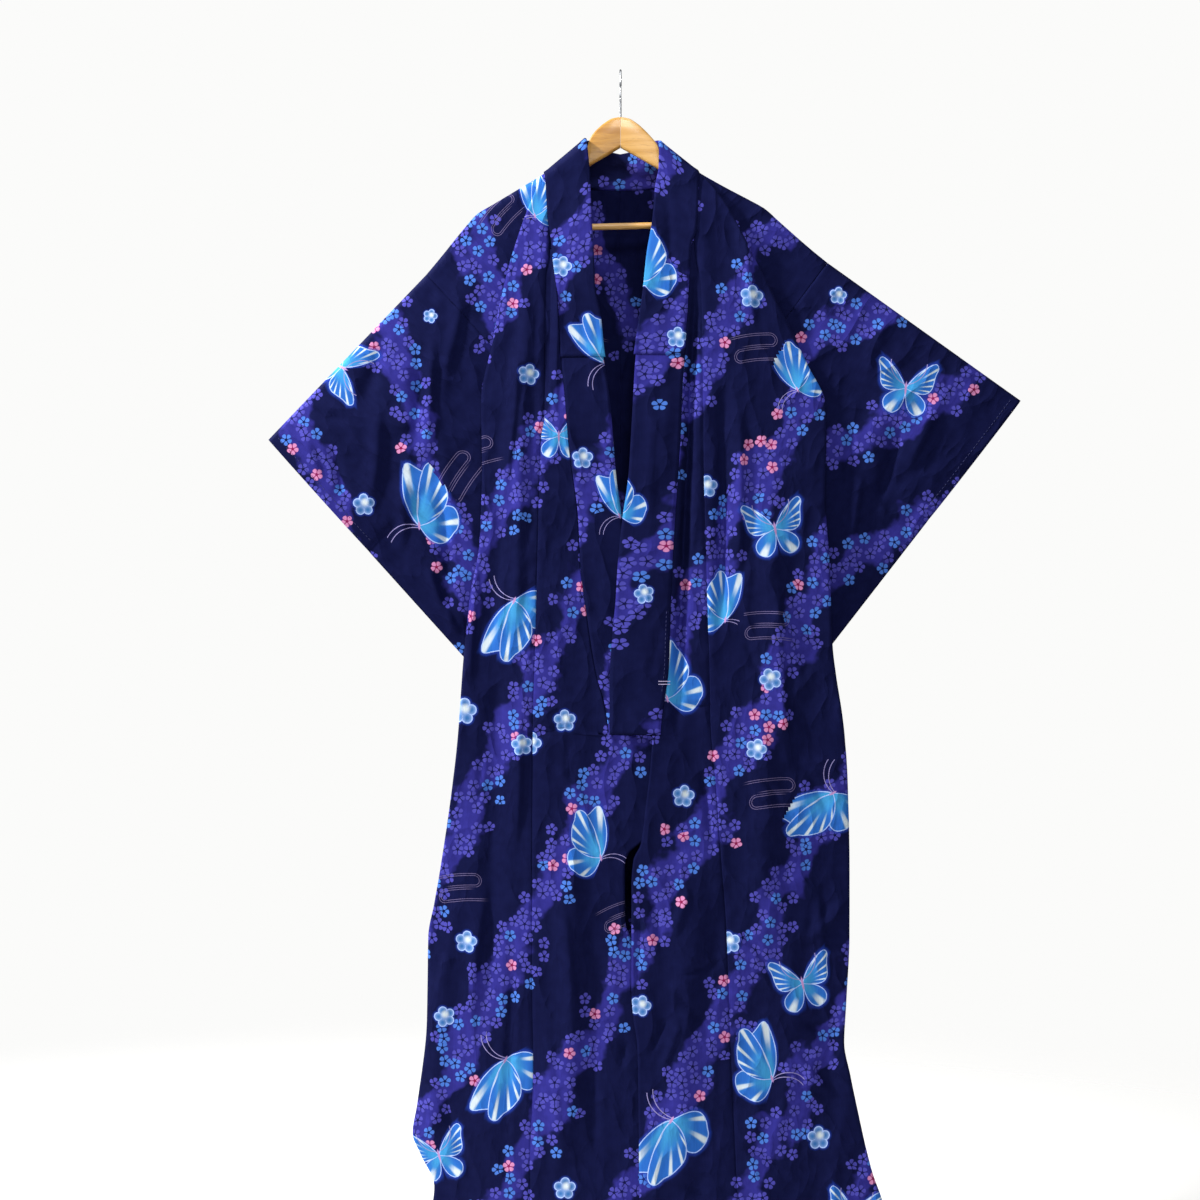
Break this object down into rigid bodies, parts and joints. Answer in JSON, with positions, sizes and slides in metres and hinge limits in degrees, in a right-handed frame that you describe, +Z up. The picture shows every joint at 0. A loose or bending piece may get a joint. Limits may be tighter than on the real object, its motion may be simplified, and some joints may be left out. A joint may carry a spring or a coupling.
{
  "type": "kimono robe on a hanger",
  "caption": "Straight-seamed wrap-front robe with square hanging sleeves, open cuffs and a long collar band, hung flat on a two-part wooden hanger with a wire hook.",
  "frame": {"origin": "top of the inside of the hanger's hook, where a rail carries it", "axes": "+Z up along the robe, +X across the shoulders towards the wearer's left, the front faces -Y"},
  "size_m": [1.157, 0.1229, 1.7654],
  "materials": {
    "body_cotton": "printed plain-weave cotton",
    "collar_cotton": "printed plain-weave cotton, two to four layers",
    "hanger_wood": "clear satin varnish",
    "hook_steel": "bright plated wire"
  },
  "bodies": {
    "root": {"body_right_front": "body_cotton", "body_right_front_top": "body_cotton", "body_right_front_middle": "body_cotton", "body_right_front_pleat": "body_cotton", "body_right_back": "body_cotton", "body_right_back_pleat": "body_cotton", "body_left_front": "body_cotton", "body_left_front_top": "body_cotton", "body_left_front_middle": "body_cotton", "body_left_front_pleat": "body_cotton", "body_left_back": "body_cotton", "body_left_back_pleat": "body_cotton", "sleeve_right": "body_cotton", "sleeve_left": "body_cotton", "okumi_right": "body_cotton", "okumi_right_top": "body_cotton", "okumi_left": "body_cotton", "okumi_left_top": "body_cotton", "collar": "collar_cotton", "over_collar": "collar_cotton", "hanger_arm_right": "hanger_wood", "hanger_arm_left": "hanger_wood", "trouser_bar": "hanger_wood", "hook": "hook_steel"}
  },
  "joints": []
}
